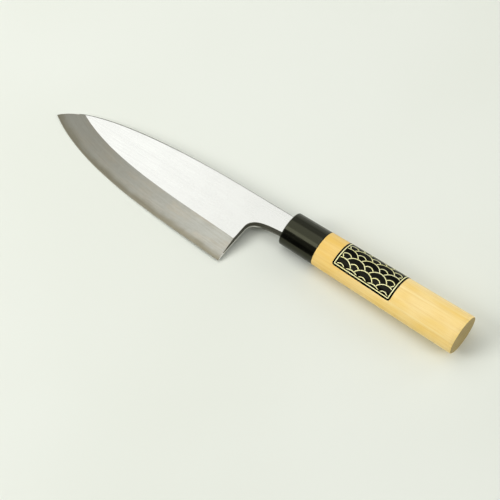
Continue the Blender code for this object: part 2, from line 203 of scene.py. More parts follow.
# %% [markdown]
# ## Height of the upper face and of the bevel
#
# The smith leaves the upper face flat but tapers it from the neck to the point, so it is one
# leaning plane. The bevel is ground on a wheel from that plane down to the edge, always the same
# distance square to the edge. At any spot the steel that is left is the lower of the two, and
# the crisp line where they meet is the ridge that gives this kind of blade its look.

# %% Plane of the upper face and slope of the bevel
BEVEL_WIDTH = 16.1
NECK_THICKNESS, HEEL_THICKNESS, POINT_THICKNESS, EDGE_THICKNESS = 6.3, 5.0, 2.2, 0.15
POINT_X = 156.0
coarse_back = bend(*BACK_BEND, 36)
near_point = coarse_back[np.abs(coarse_back[:, 0] - POINT_X).argmin()]
face_spots = np.array([
    [0.0, BACK_Y, BACK_FACE + NECK_THICKNESS],
    [HEEL[0], HEEL[1] - BEVEL_WIDTH, BACK_FACE + HEEL_THICKNESS],
    [*near_point, BACK_FACE + POINT_THICKNESS],
])
lean = np.cross(face_spots[2] - face_spots[0], face_spots[1] - face_spots[0])


def face_height(spots):
    """Height of the plane through the three thicknesses, at flat places (..., xy)."""
    away = spots - face_spots[0, :2]
    return face_spots[0, 2] - (away @ lean[:2]) / lean[2]


def to_edge(spots):
    """Distance from each flat place to the edge, and how far along the edge, from 0 to 1.

    The foot of the shortest way is found on every short piece of the edge, and the least wins.
    """
    start, run = edge_line[:-1], np.diff(edge_line, axis=0)
    share = ((spots[..., None, :] - start) * run).sum(-1) / (run ** 2).sum(-1)
    share = share.clip(0.0, 1.0)
    way = np.linalg.norm(spots[..., None, :] - start - share[..., None] * run, axis=-1)
    piece = way.argmin(-1)[..., None]
    along = (piece + np.take_along_axis(share, piece, -1)) / len(run)
    return np.take_along_axis(way, piece, -1)[..., 0], along[..., 0]


ridge_line = edge_line + BEVEL_WIDTH * square_in(edge_line)
ridge_rise = (face_height(ridge_line) - BACK_FACE - EDGE_THICKNESS) / BEVEL_WIDTH


def bevel_height(spots):
    """Height of the ground bevel: thin at the edge, rising by the slope of its nearest place."""
    way, along = to_edge(spots)
    rise = np.interp(along, np.linspace(0, 1, len(ridge_rise)), ridge_rise)
    return BACK_FACE + EDGE_THICKNESS + way * rise


def top_height(spots):
    """What the two grinds leave: the lower of the upper face and the bevel."""
    return np.minimum(face_height(spots), bevel_height(spots))


print("bevel leans", np.degrees(np.arctan(ridge_rise[[0, 75, -1]])).round(1), "degrees")

# %% [markdown]
# ## The hollow back
#
# The other side is flat except for a shallow hollow, cut by a very large wheel. It leaves a
# narrow flat rim along the back and the edge, which is what touches the whetstone, and it lets
# food fall away. Its depth is an arc of the wheel between the two rims, and it runs out towards
# the neck.

# %% Depth of the hollow
RIM = 2.0
WHEEL = 460.0
RUNOUT = 6.0

whole_back = np.vstack([(HEEL[0] - 30.0, BACK_Y), (HEEL[0], BACK_Y), back_line])
back_rim = whole_back - RIM * square_in(whole_back)
edge_rim = edge_line + RIM * square_in(edge_line)


def hollow_depth(spots):
    """Depth of the wheel's arc: sqrt(R^2 - middle^2) less its value at the rims, never below 0."""
    x = spots[..., 0].clip(HEEL[0], None)
    low = np.interp(x, back_rim[:, 0], back_rim[:, 1])
    high = np.interp(x, edge_rim[:, 0], edge_rim[:, 1])
    half = ((high - low) / 2).clip(0.0, None)
    middle = spots[..., 1] - (high + low) / 2
    arc = np.sqrt(WHEEL ** 2 - middle ** 2) - np.sqrt(WHEEL ** 2 - half ** 2)
    runout = ((spots[..., 0] - HEEL[0] + RUNOUT) / RUNOUT).clip(0.0, 1.0)
    return arc.clip(0.0, None) * runout * runout * (3 - 2 * runout)


print("deepest hollow:", round(float(hollow_depth(np.array([30.0, 18.0]))), 3), "mm")

# %% [markdown]
# ## Stations along the blade
#
# The blade is cut into thin slices. Each slice starts on the back and ends on the lower outline,
# which is first the neck, then the round corner, then the heel, and at last the cutting edge. The
# outline turns through a right angle at the corner, so the slices lean there: they start further
# forward on the back than they end, or they would cut across open air. Towards the tip they
# straighten up again.

# %% Where each slice starts and ends
NECK_START = -2.5
BEND_START = 12.0
neck_x = np.linspace(NECK_START, BEND_START, 14)[:-1]
neck_low = on_line(neck_x, neck_line)
corner_path = np.vstack([neck_line[neck_line[:, 0] >= BEND_START], [HEEL]])
corner_way = way_along(corner_path)
stops = np.append(np.linspace(0.0, 13.0, 22), np.linspace(13.0, corner_way[-1] - 0.7, 18)[1:])
corner_low = np.stack([np.interp(stops, corner_way, corner_path[:, k]) for k in (0, 1)], 1)
share = np.linspace(0.0, 1.0, 171)[:-1]
blade_x = HEEL[0] + (TIP[0] - HEEL[0]) * (1 - (1 - share) ** 1.25)
blade_low = on_line(blade_x, edge_line)

low_spots = np.vstack([neck_low, corner_low, blade_low])
path_way = way_along(low_spots)
turns = [*path_way[[0, len(neck_x), len(neck_x) + len(stops)]], path_way[-1] - 60.0, path_way[-1]]
back_x = np.interp(path_way, turns, [NECK_START, BEND_START, 46.0, blade_x[-1] - 49.0, blade_x[-1]])
back_spots = on_line(back_x, back_line)
on_edge = np.arange(len(low_spots)) >= len(low_spots) - len(blade_low)
print(len(low_spots), "slices,", int(on_edge.sum()), "of them end on the cutting edge")

# %% [markdown]
# ## Rounded corners and the last sharpening bevel
#
# A smith breaks the sharp corners of the back and the neck with a file, so they are drawn as
# quarter circles of about a third of a millimetre, and of twice that on the back near the tip,
# where a finger presses. The cutting edge isn't rounded. It gets a second, steeper bevel less
# than half a millimetre wide, which catches the light as a bright thread along the edge.

# %% One ring of points for each slice
CORNER = 0.35
TIP_CORNER = 0.65
EDGE_BEVEL = 0.42
HONED_THICKNESS = 0.12
ARC = np.radians([0.0, 30.0, 60.0, 90.0])

back_in = -square_in(back_spots)
low_in = np.vstack([square_in(np.vstack([neck_low, corner_low])), square_in(blade_low)])
width = np.linalg.norm(low_spots - back_spots, axis=1)
stock = top_height(back_spots) - BACK_FACE
low_stock = np.where(on_edge, 1.0, top_height(low_spots) - BACK_FACE)
broken = np.interp(back_spots[:, 0], [60.0, 110.0], [CORNER, TIP_CORNER])
back_round = np.minimum(broken, np.minimum(0.4 * stock, 0.2 * width))
low_round = np.where(on_edge, np.minimum(EDGE_BEVEL, 0.2 * width), np.minimum(CORNER, 0.3 * low_stock))
under_back = 0.4 * back_round
under_low = np.where(on_edge, 0.0, 0.4 * low_round)
low_push = low_in * low_round[:, None]
low_push[on_edge.argmax()] = (0.05, -EDGE_BEVEL)


def rounded(spots, push, drop, height):
    """Quarter circle at a corner: places move in by 1 - cos, heights drop by 1 - sin of the arc."""
    flat = spots[:, None] + push[:, None] * (1 - np.cos(ARC))[:, None]
    level = height(spots + push)[:, None] - drop[:, None] * (1 - np.sin(ARC))
    return np.concatenate([flat, level[..., None]], -1)


back_top = rounded(back_spots, back_in * back_round[:, None], back_round, top_height)
low_top = rounded(low_spots, low_push, low_round, top_height)
thread = np.linspace(0.0, 1.0, 4)
foot = BACK_FACE + HONED_THICKNESS
sharp = foot + (low_top[:, -1:, 2] - foot) * thread
low_top[..., 2] = np.where(on_edge[:, None], sharp, low_top[..., 2])
low_top[on_edge, :, :2] = (low_spots[:, None] + low_push[:, None] * thread[:, None])[on_edge]
print("edge thickness:", round(float(low_top[100, 0, 2] - BACK_FACE), 3), "mm")

# %% The upper face, the ridge and the bevel between the two corners
start, end = back_top[:, -1, :2], low_top[:, -1, :2]
TRIES = 40
tries = np.linspace(0.0, 1.0, TRIES + 1)
probe = start[:, None] + (end - start)[:, None] * tries[:, None]
over = bevel_height(probe) - face_height(probe)
before = (over > 0).cumprod(axis=1).sum(axis=1) - 1
step = before.clip(0, TRIES - 1)
high_side = np.take_along_axis(over, step[:, None], 1)[:, 0]
low_side = np.take_along_axis(over, step[:, None] + 1, 1)[:, 0]
ridge_at = (step + (high_side / (high_side - low_side)).clip(0, 1)) / TRIES
ridge_at = np.where(before < 0, 0.0, np.where(before >= TRIES, 1.0, ridge_at))

FACE_SHARES = np.array([0.03, 0.15, 0.35, 0.6, 0.85])
BEVEL_SHARES = np.array([0.0, 0.1, 0.3, 0.5, 0.7, 0.85, 0.96])
face_at = ridge_at[:, None] * FACE_SHARES
bevel_at = ridge_at[:, None] + (1 - ridge_at[:, None]) * BEVEL_SHARES


def between(shares, height):
    """Points a share of the way from a slice's inner back corner to its inner lower corner."""
    flat = start[:, None] + (end - start)[:, None] * shares[..., None]
    return np.concatenate([flat, height(flat)[..., None]], -1)


face_part = between(face_at, top_height)
bevel_part = between(bevel_at, top_height)
print("ridge meets the back at x =", round(float(back_x[(ridge_at <= 0).argmax()]), 1), "mm")

# %% The underside, with its two rims and the hollow
def under_height(spots):
    """The flat back, raised by the depth of the hollow."""
    return BACK_FACE + hollow_depth(spots)


low_under = rounded(low_spots, low_in * under_low[:, None], -under_low, under_height)
back_under = rounded(back_spots, back_in * under_back[:, None], -under_back, under_height)
start, end = low_under[:, -1, :2], back_under[:, -1, :2]
span = np.linalg.norm(end - start, axis=1)
heading = (end - start) / span[:, None]
rim_gap = np.where(on_edge, RIM, 0.4) / (heading * low_in).sum(axis=1).clip(0.2, 1.0)
back_gap = RIM / -(heading * back_in).sum(axis=1).clip(-1.0, -0.2)
first = np.minimum(rim_gap / span, 0.499)[:, None]
last = np.maximum(1 - back_gap / span, 0.501)[:, None]
HOLLOW_SHARES = np.array([0, 0.03, 0.1, 0.2, 0.3, 0.4, 0.5, 0.6, 0.7, 0.8, 0.9, 0.97, 1.0])
under_part = between(first + (last - first) * HOLLOW_SHARES, under_height)

stretches = [back_top, face_part, bevel_part, low_top[:, ::-1],
             low_under, under_part, back_under[:, ::-1]]
body = np.concatenate(stretches, axis=1)
face_from, ridge_from, low_from, under_from, hollow_from, back_from = np.cumsum(
    [part.shape[1] for part in stretches])[:-1]
print("each ring of the blade has", body.shape[1], "points")

# %% [markdown]
# ## The tang, the tip and the finish of each band
#
# Behind the neck the blade narrows to a tang that is driven into the handle. It is hidden, so a
# plain taper is enough. The tip is a pole. Each band of faces gets its own finish by number: the
# satin upper face, the stone-ground bevel, the filed back and neck, the bright thread along the
# edge and the hollow back.

# %% Blade mesh
SATIN, GROUND, FILED, HONED, HOLLOW = range(5)
TANG_FRONT = (6.05, 2.5)
TANG_END = (2.5, 1.3)
TANG_LENGTH = 92.0


def squeezed(ring, x, half):
    """A ring moved to x and scaled across and up to two half sizes round its own middle."""
    low, high = ring.min(axis=0), ring.max(axis=0)
    middle = (low + high) / 2
    out = (ring - middle) / (high - low).clip(1e-9, None) * 2 * np.array([0, *half])
    return out + [x, middle[1], 0.0]


tang_front = squeezed(body[0], NECK_START, TANG_FRONT)
tang_end = squeezed(body[0], -TANG_LENGTH, TANG_END)
tang_pole = np.broadcast_to(tang_end.mean(axis=0), tang_end.shape)
tip_pole = np.broadcast_to([*TIP, BACK_FACE + HONED_THICKNESS / 2], tang_end.shape)
tang_rings = [tang_pole, tang_end, tang_front]
blade_rings = np.concatenate([tang_rings, body, [tip_pole]])

bands = np.full((len(blade_rings) - 1, body.shape[1]), FILED)
bands[:, face_from - 1:ridge_from] = SATIN
bands[:, ridge_from:low_from] = GROUND
bands[len(tang_rings):, low_from:under_from - 1] = np.where(on_edge, HONED, FILED)[:, None]
bands[:, hollow_from - 1:back_from] = HOLLOW
bands[:len(tang_rings)] = FILED

flat = blade_rings[..., :2]
way, along = to_edge(flat)
by_edge = np.stack([along * edge_length, way], -1)


def corners(values):
    """The values at the four corners of every face of a row of rings, in the skin's order."""
    turned = np.roll(values, -1, axis=1)
    return np.stack([values[:-1], turned[:-1], turned[1:], values[1:]], 2)


charts_by_edge = np.isin(bands, (GROUND, HONED))[..., None, None]
charts = np.where(charts_by_edge, corners(by_edge), corners(flat)) * MM
ridge_mark = np.zeros(blade_rings.shape[:2])
ridge_mark[:, ridge_from] = 1.0
ridge_mark[len(tang_rings):-1, [low_from, under_from - 1, under_from]] = on_edge[:, None]
blade = skin("forged_blade", blade_rings, bands, charts.reshape(-1, 4, 2), {"ridge": ridge_mark})

# %% [markdown]
# ## Crisp lines on a smooth skin
#
# Smooth shading blends the light over every edge, which is right for the rounded corners and
# wrong for the ridge and the thread along the edge. The points on those lines were marked when
# the rings were made, so the edges between two marked points are kept sharp.

# %% Keep the marked lines sharp
def keep_lines_sharp(obj, mark):
    """An edge stays sharp when the mark is 1 at both of its ends."""
    mesh = obj.data
    value = np.zeros(len(mesh.vertices), np.float32)
    mesh.attributes[mark].data.foreach_get("value", value)
    pairs = np.zeros(len(mesh.edges) * 2, np.int32)
    mesh.edges.foreach_get("vertices", pairs)
    crisp = (value[pairs.reshape(-1, 2)] > 0.5).all(axis=1)
    layer = mesh.attributes.get("sharp_edge") or mesh.attributes.new("sharp_edge", "BOOLEAN", "EDGE")
    layer.data.foreach_set("value", crisp)
    mesh.attributes.remove(mesh.attributes[mark])
    return int(crisp.sum())


def weigh_normals(obj):
    """Let large flat faces keep their own light where they meet a small rounded corner."""
    weigh = obj.modifiers.new("weighted", "WEIGHTED_NORMAL")
    weigh.keep_sharp = True
    weigh.weight = 80


print(keep_lines_sharp(blade, "ridge"), "sharp edges on the blade")
weigh_normals(blade)

# %% [markdown]
# ## The oval of the handle
#
# Ferrule, grip and band all follow one oval that grows slightly from the ferrule to the butt. A
# ring is that oval at one place along X, made smaller all round by an inset. A slot or a hole is
# a rounded rectangle, drawn with the same number of points by bending the circle's sine and
# cosine outwards with a small power.

# %% Ovals and rounded slots
HANDLE_LENGTH = 127.0
FRONT_HALF = np.array([11.76, 9.09])
BUTT_HALF = np.array([13.63, 10.65])
SIDES = 128
turn = np.arange(SIDES) / SIDES * 2 * np.pi


def half_sizes(x):
    """Half width and half height of the oval, growing in proportion from the front to the butt."""
    part = -np.asarray(x) / HANDLE_LENGTH
    return [front + (butt - front) * part for front, butt in zip(FRONT_HALF, BUTT_HALF)]


def oval(x, inset):
    """The oval at x, smaller by the inset: (x, (w - inset) sin, (h - inset) cos)."""
    w, h = half_sizes(x)
    return np.stack([np.full(SIDES, x), (w - inset) * np.sin(turn), (h - inset) * np.cos(turn)], 1)


def rounded_rim(x_end, inward, radius, steps):
    """Ovals from an end face to the side: x moves by r (1 - cos) and the inset is r (1 - sin)."""
    return [oval(x_end + inward * radius * (1 - np.cos(angle)), radius * (1 - np.sin(angle)))
            for angle in np.linspace(0, np.pi / 2, steps)]


def slot_ring(x, middle, half):
    """A rounded rectangle at x: the sine and cosine to the power 0.2, times its half sizes."""
    s, c = np.sin(turn), np.cos(turn)
    y = middle[0] + half[0] * np.sign(s) * np.abs(s) ** 0.2
    z = middle[1] + half[1] * np.sign(c) * np.abs(c) ** 0.2
    return np.stack([np.full(SIDES, x), y, z], 1)


print("oval at the butt, in mm:", [round(float(2 * v), 2) for v in half_sizes(-HANDLE_LENGTH)])

# %% [markdown]
# ## The ferrule
#
# The ferrule is a moulded black cap. Its front is closed except for the slot that the neck
# passes through, and its rim is rounded. Behind, it is a socket for the wood. The profile is
# carried all the way round and back to its start, so the skin is closed like a tyre.

# %% Ferrule mesh
FERRULE_LENGTH = 24.7
FERRULE_WALL = 1.5
FERRULE_ROUND, REAR_ROUND = 0.8, 0.25
CHAMFER, SLOT_CHAMFER = 0.2, 0.15
NECK_MIDDLE = (0.025, 0.0)
SLOT_HALF = np.array([6.86, 3.32])

ferrule_profile = [slot_ring(NECK_START, NECK_MIDDLE, SLOT_HALF),
                   slot_ring(-SLOT_CHAMFER, NECK_MIDDLE, SLOT_HALF),
                   slot_ring(0.0, NECK_MIDDLE, SLOT_HALF + SLOT_CHAMFER)]
ferrule_profile += [oval(0.0, 1.4), oval(0.0, 0.95), *rounded_rim(0.0, -1, FERRULE_ROUND, 7)]
ferrule_profile += [oval(x, 0.0) for x in np.linspace(-1.2, 0.3 - FERRULE_LENGTH, 13)]
ferrule_profile += rounded_rim(-FERRULE_LENGTH, 1, REAR_ROUND, 4)[::-1]
ferrule_profile += [oval(-FERRULE_LENGTH, FERRULE_WALL - CHAMFER),
                    oval(CHAMFER - FERRULE_LENGTH, FERRULE_WALL),
                    oval(NECK_START - CHAMFER, FERRULE_WALL), oval(NECK_START, FERRULE_WALL + CHAMFER)]
ferrule_rings = np.array(ferrule_profile)
rub = np.zeros(ferrule_rings.shape[:2])
rub[4:12] = 1.0
rub[-7:-4] = 1.0
ferrule = skin("moulded_ferrule", ferrule_rings, marks={"rub": rub}, loop=True)
ferrule.data.set_sharp_from_angle(angle=radians(40))
weigh_normals(ferrule)

# %% [markdown]
# ## The wooden grip
#
# The grip is turned and sanded from one piece of pale wood. It is flush with the ferrule, ends
# in a rounded butt, and has a tenon in front that fills the ferrule's socket. The tang sits in a
# tapered hole. From the butt's centre the rings run out over the end, along the side, in over
# the shoulder, along the tenon and down the hole to its end.

# %% Grip mesh
BUTT_ROUND, SHOULDER_ROUND = 0.9, 0.2
HOLE_FRONT, HOLE_END = (6.35, 2.8), (2.8, 1.6)
FIT_GAP = 0.3
tenon_inset = FERRULE_WALL + FIT_GAP
tenon_front, hole_end = NECK_START - FIT_GAP, -TANG_LENGTH - FIT_GAP
wood_start = -FERRULE_LENGTH - 0.12

grip_profile = [oval(-HANDLE_LENGTH, BUTT_ROUND) * [1, share_out, share_out]
                for share_out in (0.0, 0.15, 0.35, 0.55, 0.75, 0.9)]
grip_profile += rounded_rim(-HANDLE_LENGTH, 1, BUTT_ROUND, 8)
butt_rows = len(grip_profile)
grip_profile += [oval(x, 0.0) for x in np.linspace(-HANDLE_LENGTH + 1.5, wood_start - 0.4, 40)]
grip_profile += rounded_rim(wood_start, -1, SHOULDER_ROUND, 4)[::-1]
grip_profile += [oval(wood_start, tenon_inset), oval(tenon_front, tenon_inset)]
grip_profile += [slot_ring(tenon_front, NECK_MIDDLE, HOLE_FRONT)]
grip_profile += [slot_ring(hole_end, NECK_MIDDLE, half) for half in (HOLE_END, (0.0, 0.0))]
grip_rings = np.array(grip_profile)
rub = np.zeros(grip_rings.shape[:2])
rub[6:butt_rows + 1] = 1.0
ends = np.zeros((len(grip_rings) - 1, SIDES))
ends[:9] = 1
grip = skin("wooden_grip", grip_rings, ends, marks={"rub": rub})
grip.data.set_sharp_from_angle(angle=radians(35))
weigh_normals(grip)

# %% [markdown]
# ## The printed band
#
# The band is a thin glossy label glued round the grip: a rectangle with rounded corners, bent to
# the oval and turned by a degree or so, as hand-fitted labels are. Its shape is worked out flat,
# in millimetres along and around, and each flat point is laid on the oval by walking the same
# distance round it. The flat place is kept as the chart that the print is drawn in.

# %% Band mesh
BAND_START, BAND_LENGTH = 38.0, 42.7
BAND_EDGE_ANGLE, BAND_WRAP_ANGLE, BAND_TURN = 48.0, 160.0, 1.4
BAND_CORNER = 1.6
FOIL_THICKNESS, GLUE = 0.13, 0.04
BAND_MIDDLE = -BAND_START - BAND_LENGTH / 2
w_band, h_band = half_sizes(BAND_MIDDLE)
dense = np.radians(np.linspace(-180.0, 180.0, 1441))
reach = way_along(np.stack([w_band * np.sin(dense), h_band * np.cos(dense)], 1))
reach -= np.interp(0.0, dense, reach)
band_ends = np.radians([BAND_EDGE_ANGLE, BAND_EDGE_ANGLE - BAND_WRAP_ANGLE])
LOW, HIGH = np.interp(band_ends, dense, reach).tolist()
BAND_WIDTH = LOW - HIGH
rows, columns = 120, 72
around = np.linspace(-0.5, 0.5, rows + 1) * BAND_WIDTH
beyond = (np.abs(around) - (BAND_WIDTH / 2 - BAND_CORNER)).clip(0.0, None)
short = BAND_CORNER - np.sqrt((BAND_CORNER ** 2 - beyond ** 2).clip(0.0, None))
spread = np.linspace(-0.5, 0.5, columns + 1)
flat_along = spread[None, :] * (BAND_LENGTH - 2 * short)[:, None]
flat_around = np.broadcast_to(around[:, None], flat_along.shape)
tilt = radians(BAND_TURN)
x = BAND_MIDDLE + flat_along * np.cos(tilt) + flat_around * np.sin(tilt)
round_way = (LOW + HIGH) / 2 - flat_along * np.sin(tilt) + flat_around * np.cos(tilt)
angle = np.interp(round_way, reach, dense)
w, h = half_sizes(x)
sheet = np.stack([x, (w + GLUE) * np.sin(angle), (h + GLUE) * np.cos(angle)], -1)
number = np.arange(x.size).reshape(x.shape)
faces = np.stack([number[:-1, :-1], number[:-1, 1:], number[1:, 1:], number[1:, :-1]], -1).reshape(-1, 4)
middle_face = on_table(sheet.reshape(-1, 3)[faces[len(faces) // 3]])
if np.cross(middle_face[1] - middle_face[0], middle_face[2] - middle_face[0])[2] < 0:
    faces = faces[:, ::-1]
label = bpy.data.meshes.new("printed_band")
label.from_pydata(on_table(sheet.reshape(-1, 3)).tolist(), [], faces.tolist())
flat_chart = np.stack([flat_along, flat_around], -1).reshape(-1, 2)[faces.reshape(-1)] * MM
label.uv_layers.new(name="chart").data.foreach_set("uv", flat_chart.reshape(-1).astype(np.float32))
label.shade_smooth()
band = show("printed_band", label)
thicken = band.modifiers.new("thickness", "SOLIDIFY")
thicken.thickness = FOIL_THICKNESS * MM
thicken.offset = 1.0
print("band is", round(BAND_WIDTH, 1), "mm round and", BAND_LENGTH, "mm long")

# %% [markdown]
# ## Building materials from nodes
#
# A material is a small network: coordinates go into noise, noise goes into colours, roughness
# and fine relief, and those go into one shader. The helpers keep the network readable: one adds
# a node and connects its inputs, the others name the steps that every finish takes. A value
# knows the network that it belongs to, so only the first node of a network has to be told.

# %% Node helpers
def add(tree, kind, inputs=None, **settings):
    """Add one node to a tree, apply its settings, then link or set each named input."""
    made = tree.nodes.new(kind)
    for key, value in settings.items():
        setattr(made, key, value)
    for key, value in (inputs or {}).items():
        if isinstance(value, bpy.types.NodeSocket):
            tree.links.new(value, made.inputs[key])
        else:
            made.inputs[key].default_value = value
    return made


def calc(operation, *values, clamp=False):
    """One arithmetic node over one or two values, and its result."""
    tree = next(value.id_data for value in values if isinstance(value, bpy.types.NodeSocket))
    inputs = dict(enumerate(values))
    return add(tree, "ShaderNodeMath", inputs, operation=operation, use_clamp=clamp).outputs[0]


def plus(one, two):
    """The sum of two values."""
    return calc("ADD", one, two)


def minus(one, two):
    """The first value less the second."""
    return calc("SUBTRACT", one, two)


def times(one, two):
    """The product of two values."""
    return calc("MULTIPLY", one, two)


def hypotenuse(one, two):
    """The long side over two at right angles: the root of the sum of their squares."""
    return calc("SQRT", plus(times(one, one), times(two, two)))


def ease(value, low, high, out_low=0.0, out_high=1.0):
    """Smooth step: a value between low and high becomes one between two results."""
    made = add(value.id_data, "ShaderNodeMapRange", {"Value": value, "From Min": low, "From Max": high,
                                                     "To Min": out_low, "To Max": out_high},
               interpolation_type="SMOOTHSTEP")
    return made.outputs["Result"]


def blend(share, one, two):
    """Mix two colours by a share."""
    return add(share.id_data, "ShaderNodeMix", {0: share, 6: one, 7: two}, data_type="RGBA").outputs[2]


def tint(tone, value, low, high, share, colour):
    """Lay a colour over a tone, up to a share of it as a value goes from low to high."""
    return blend(ease(value, low, high, 0.0, share), tone, colour)


def noise(place, scale, detail=3.0, rough=0.5):
    """Soft random values from 0 to 1 at a place, with about scale spots in a metre."""
    made = add(place.id_data, "ShaderNodeTexNoise", {"Vector": place, "Scale": scale,
                                                     "Detail": detail, "Roughness": rough})
    return made.outputs["Fac"]


def axes(place):
    """The X, Y and Z of a place."""
    return add(place.id_data, "ShaderNodeSeparateXYZ", {"Vector": place}).outputs


def relief(height, strength, depth):
    """Which way a surface faces when heights from 0 to 1 stand on it, depth metres high."""
    inputs = {"Strength": strength, "Distance": depth, "Height": height}
    return add(height.id_data, "ShaderNodeBump", inputs).outputs[0]


def new_finish(name, **values):
    """A new material and its shader, with the plain values set on the shader."""
    mat = bpy.data.materials.new(name)
    mat.use_nodes = True
    shader = mat.node_tree.nodes["Principled BSDF"]
    for key, value in values.items():
        shader.inputs[key.replace("_", " ")].default_value = value
    return mat, shader


def wire(node, **values):
    """Link values to the inputs of one node that have their names."""
    for key, value in values.items():
        node.id_data.links.new(value, node.inputs[key.replace("_", " ")])


def rgb(red, green, blue):
    """A colour given as it shows on a screen, from 0 to 255, turned into linear light."""
    value = np.array([red, green, blue]) / 255.0
    linear = np.where(value <= 0.04045, value / 12.92, ((value + 0.055) / 1.055) ** 2.4)
    return (*[float(v) for v in linear], 1.0)


print("a screen grey of 128 is", round(rgb(128, 128, 128)[0], 3), "in linear light")

# %% [markdown]
# ## Fine lines left by working
#
# Polished steel, stone-ground steel, sanded wood and buffed plastic all carry fine lines along
# the way they were worked. One group makes them: it stretches the coordinates, so that round
# noise becomes long streaks, and gives two sizes of line together. Every finish places it with
# its own spacing.

# %% Group for worked lines
def new_group(name, values, results):
    """The entry and exit of a node group that takes a place and values and gives results."""
    tree = bpy.data.node_groups.new(name, "ShaderNodeTree")
    tree.interface.new_socket("Place", in_out="INPUT", socket_type="NodeSocketVector")
    for way, keys in (("INPUT", values), ("OUTPUT", results)):
        for key in keys:
            tree.interface.new_socket(key, in_out=way, socket_type="NodeSocketFloat")
    return tree.nodes.new("NodeGroupInput").outputs, tree.nodes.new("NodeGroupOutput")


def lines_group():
    """Streaks along X: noise whose X is squeezed by Length and whose Y and Z by Spacing."""
    enter, leave = new_group("worked_lines", ("Length", "Spacing"), ("Lines", "Broad"))
    tree = leave.id_data
    tight = calc("DIVIDE", 1.0, enter["Spacing"])
    stretch = add(tree, "ShaderNodeCombineXYZ", {"X": calc("DIVIDE", 1.0, enter["Length"]),
                                                 "Y": tight, "Z": tight})
    place = add(tree, "ShaderNodeVectorMath", {0: enter["Place"], 1: stretch.outputs[0]},
                operation="MULTIPLY").outputs[0]
    wire(leave, Lines=noise(place, 1.0, 3.0, 0.65), Broad=noise(place, 0.16, 2.0, 0.5))
    return tree


worked_lines = lines_group()


def lines(place, length, spacing):
    """Place the group in a material and return its fine and its broad streaks."""
    inputs = {"Place": place, "Length": length, "Spacing": spacing}
    made = add(place.id_data, "ShaderNodeGroup", inputs, node_tree=worked_lines)
    return made.outputs["Lines"], made.outputs["Broad"]


def chart_place(shader):
    """The piece's own chart, in metres."""
    return add(shader.id_data, "ShaderNodeUVMap", uv_map="chart").outputs["UV"]


def knife_place(shader):
    """Object coordinates turned back into the knife's own frame, so grain runs along the handle."""
    tree = shader.id_data
    turn_back = Matrix(REST_TURN.T.tolist()).to_euler()
    made = add(tree, "ShaderNodeMapping", {"Vector": add(tree, "ShaderNodeTexCoord").outputs["Object"],
                                           "Location": (-MM * REST_SHIFT @ REST_TURN).tolist(),
                                           "Rotation": list(turn_back)})
    return made.outputs["Vector"]


print("group made:", worked_lines.name)

# %% [markdown]
# ## The upper face
#
# The flat upper face was ground along the blade and then buffed, so it mirrors the lamp in one
# bright sheet, broken only by faint streaks along its length. It is steel with a low roughness
# that wavers from streak to streak, and a relief so shallow that only the light shows it. Towards
# the handle its colour is a little darker.

# %% Satin upper face
satin, shader = new_finish("satin_iron", Metallic=1.0)
place = chart_place(shader)
fine, broad = lines(place, 0.022, 0.00022)
cloud = noise(place, 60.0, 2.0)
toward_point = ease(axes(place)["X"], -0.01, 0.11)
tone = blend(toward_point, rgb(210, 211, 206), rgb(227, 228, 224))
tone = tint(tone, broad, 0.35, 0.65, 0.4, rgb(214, 214, 211))
tone = tint(tone, fine, 0.3, 0.7, 0.28, rgb(207, 207, 203))
rough = plus(ease(fine, 0.3, 0.7, 0.24, 0.28), ease(cloud, 0.4, 0.6, -0.01, 0.02))
wire(shader, Base_Color=tone, Roughness=rough, Normal=relief(fine, 0.03, 0.00002))
print("material:", satin.name)

# %% [markdown]
# ## The bevel
#
# The bevel is finished on whetstones. The soft iron takes a grey haze from the stone, and the
# hard steel along the edge stays a shade darker and browner, with a slightly wavy line where the
# two were forge-welded. The chart on the bevel runs along the edge and away from it, so the band
# of steel follows the edge all the way to the tip.

# %% Stone-ground bevel
ground, shader = new_finish("stone_ground_iron", Metallic=1.0)
place = chart_place(shader)
parts = axes(place)
fine, broad = lines(place, 0.010, 0.00022)
cloud = noise(place, 110.0, 4.0, 0.6)
grain, patch = lines(place, 0.0030, 0.0011)
line_at = ease(noise(place, 90.0, 2.0), 0.25, 0.75, 0.0026, 0.0042)
steel = minus(1.0, ease(minus(parts["Y"], line_at), -0.0022, 0.0022))
haze = blend(ease(cloud, 0.3, 0.7), rgb(148, 148, 140), rgb(155, 155, 147))
haze = tint(haze, patch, 0.42, 0.62, 0.6, rgb(160, 152, 136))
haze = tint(haze, grain, 0.4, 0.62, 0.45, rgb(140, 138, 129))
haze = tint(haze, broad, 0.42, 0.6, 0.3, rgb(168, 169, 163))
haze = tint(haze, fine, 0.3, 0.7, 0.5, rgb(138, 137, 128))
dark = blend(ease(broad, 0.3, 0.7), rgb(112, 107, 91), rgb(122, 118, 103))
# Towards the tip the whole bevel is painted darker: a painted shade, for the dimmer light it mirrors
# there.
tone = tint(blend(steel, haze, dark), parts["X"], -0.01, 0.135, 0.52, rgb(104, 102, 90))
rough = minus(ease(cloud, 0.3, 0.7, 0.29, 0.35), times(steel, 0.02))
wire(shader, Base_Color=tone, Roughness=rough, Normal=relief(fine, 0.12, 0.00002))
print("material:", ground.name)
